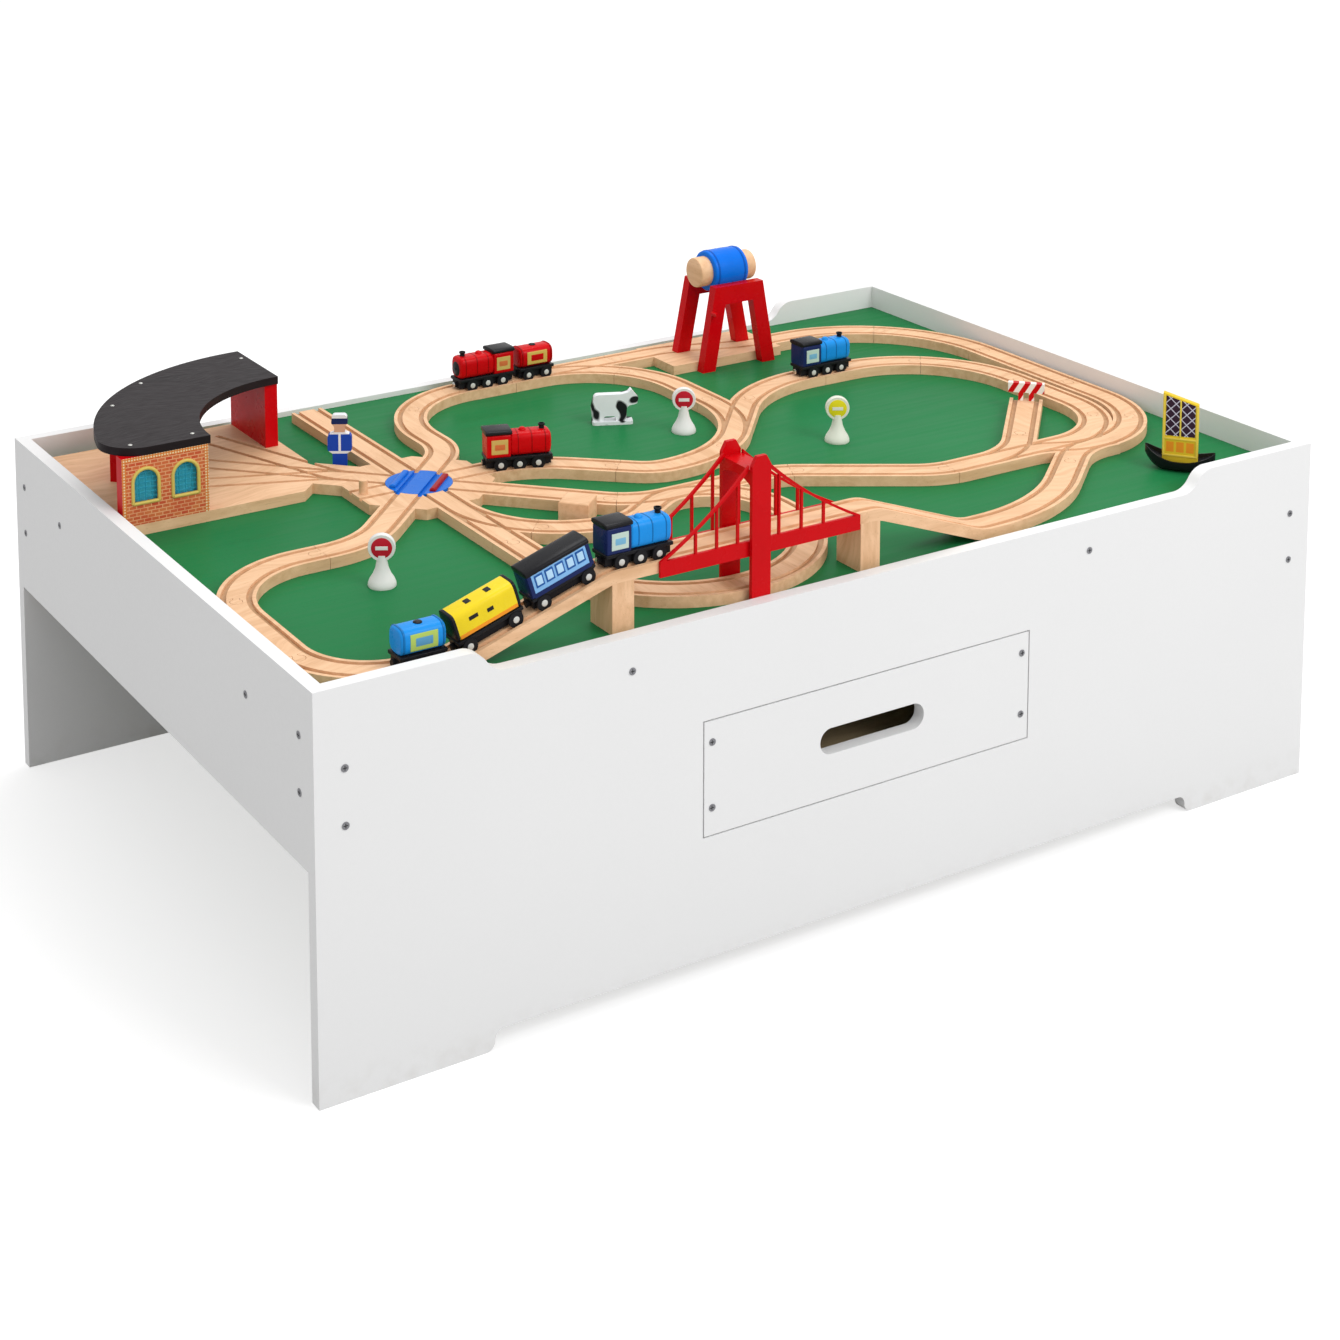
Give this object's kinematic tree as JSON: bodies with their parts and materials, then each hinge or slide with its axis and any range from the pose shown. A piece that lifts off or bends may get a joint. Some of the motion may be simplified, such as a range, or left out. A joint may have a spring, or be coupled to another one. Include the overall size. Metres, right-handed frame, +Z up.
{
  "type": "train table",
  "caption": "Low play table with raised rim and two drawers, carrying a wooden train layout with turntable, bridge, engine shed, water tower and trains.",
  "frame": {"origin": "centre of the table's footprint on the floor", "axes": "+X along the table, -Y towards the front drawer, +Z up"},
  "size_m": [1.2712, 0.8012, 0.522],
  "materials": {
    "white_board": "satin white laminate",
    "green_board": "matte green paint",
    "pine_rail": "planed pine",
    "drawer_wood": "clear-coated plywood",
    "dark_screw": "black oxide",
    "beech_track": "sanded beech",
    "blue_plastic": "moulded, glossy",
    "red_plastic": "moulded, glossy",
    "red_brick": "printed brick pattern",
    "roof_brown": "dark brown paint",
    "window_blue": "blue panes",
    "barrel_blue": "glossy blue paint",
    "frame_wood": "red painted wood",
    "engine_red": "gloss paint",
    "engine_blue": "gloss paint",
    "coach_blue": "gloss paint",
    "car_yellow": "gloss paint",
    "gear_black": "black plastic",
    "sign_wood": "white painted wood",
    "figure_wood": "white painted wood",
    "buffer_stripe": "red and white stripes",
    "hull_black": "black paint",
    "panel_yellow": "yellow frame, printed field"
  },
  "bodies": {
    "table": {"back_panel": "white_board", "barge_hull": "hull_black", "barge_panel": "panel_yellow", "board_rails": "pine_rail", "bridge_deck": "beech_track", "bridge_girders": "red_plastic", "bridge_piers": "beech_track", "bridge_ramps": "beech_track", "bridge_tower": "red_plastic", "coil_track": "beech_track", "corner_blocks": "pine_rail", "cow_board": "figure_wood", "drawer_carriers": "pine_rail", "drawer_stop": "pine_rail", "front_panel": "white_board", "guard_board": "figure_wood", "left_end_panel": "white_board", "left_loop_track": "beech_track", "left_ring_track": "beech_track", "outer_loop_track": "beech_track", "panel_screws": "dark_screw", "play_board": "green_board", "right_end_panel": "white_board", "right_ring_track": "beech_track", "shed_floor": "beech_track", "shed_roof": "roof_brown", "shed_walls": "red_brick", "shed_windows": "window_blue", "siding_buffer": "buffer_stripe", "siding_tracks": "beech_track", "signs": "sign_wood", "tower_frames": "frame_wood", "tower_plate": "beech_track", "track_block": "beech_track", "turntable_base": "beech_track"},
    "front_drawer": {"front_drawer_face": "white_board", "front_drawer_box": "drawer_wood", "front_drawer_screws": "dark_screw"},
    "back_drawer": {"back_drawer_face": "white_board", "back_drawer_box": "drawer_wood", "back_drawer_screws": "dark_screw"},
    "turntable": {"turntable_disc": "blue_plastic"},
    "barrel": {"water_barrel": "barrel_blue", "barrel_plugs": "beech_track"},
    "ring_engine": {"ring_engine_body": "engine_red", "ring_engine_gear": "gear_black"},
    "ring_tender": {"ring_tender_body": "engine_red", "ring_tender_gear": "gear_black"},
    "yard_engine": {"yard_engine_body": "engine_red", "yard_engine_gear": "gear_black"},
    "blue_engine": {"blue_engine_body": "engine_blue", "blue_engine_gear": "gear_black"},
    "bridge_engine": {"bridge_engine_body": "engine_blue", "bridge_engine_gear": "gear_black"},
    "striped_coach": {"striped_coach_body": "coach_blue", "striped_coach_gear": "gear_black"},
    "yellow_car": {"yellow_car_body": "car_yellow", "yellow_car_gear": "gear_black"},
    "last_tender": {"last_tender_body": "engine_blue", "last_tender_gear": "gear_black"}
  },
  "joints": [
    {"name": "front_drawer_slide", "type": "slide", "parent": "table", "child": "front_drawer", "axis": [0, -1, 0], "range_m": [0, 0.28]},
    {"name": "back_drawer_slide", "type": "slide", "parent": "table", "child": "back_drawer", "axis": [0, 1, 0], "range_m": [0, 0.28]},
    {"name": "turntable_spin", "type": "hinge", "parent": "table", "child": "turntable", "pos_m": [-0.278, 0.067, 0.3775], "axis": [0, 0, 1], "continuous": true},
    {"name": "barrel_spin", "type": "hinge", "parent": "table", "child": "barrel", "pos_m": [0.2945, 0.293, 0.49476], "axis": [1, 0, 0], "continuous": true},
    {"name": "ring_engine_roll", "type": "slide", "parent": "table", "child": "ring_engine", "axis": [-1, 0, 0], "range_m": [-0.014, 0.014]},
    {"name": "ring_tender_roll", "type": "slide", "parent": "table", "child": "ring_tender", "axis": [-1, 0, 0], "range_m": [-0.014, 0.014]},
    {"name": "yard_engine_roll", "type": "hinge", "parent": "table", "child": "yard_engine", "pos_m": [-0.198, -0.083, 0.382], "axis": [0, 0, 1], "range_deg": [-13, 7]},
    {"name": "blue_engine_roll", "type": "slide", "parent": "table", "child": "blue_engine", "axis": [1, 0, 0], "range_m": [-0.012, 0.025]},
    {"name": "bridge_engine_roll", "type": "slide", "parent": "table", "child": "bridge_engine", "axis": [1, 0, 0], "range_m": [0, 0.011]},
    {"name": "striped_coach_roll", "type": "slide", "parent": "table", "child": "striped_coach", "axis": [0.955, 0, 0.2965], "range_m": [0, 0.011]},
    {"name": "yellow_car_roll", "type": "slide", "parent": "table", "child": "yellow_car", "axis": [0.955, 0, 0.2965], "range_m": [0, 0.011]},
    {"name": "last_tender_roll", "type": "slide", "parent": "table", "child": "last_tender", "axis": [1, 0, 0], "range_m": [0, 0.011]}
  ],
  "couplings": [
    {"joint": "ring_tender_roll", "follows": "ring_engine_roll", "ratio": 1},
    {"joint": "striped_coach_roll", "follows": "bridge_engine_roll", "ratio": 1},
    {"joint": "yellow_car_roll", "follows": "bridge_engine_roll", "ratio": 1},
    {"joint": "last_tender_roll", "follows": "bridge_engine_roll", "ratio": 1}
  ]
}
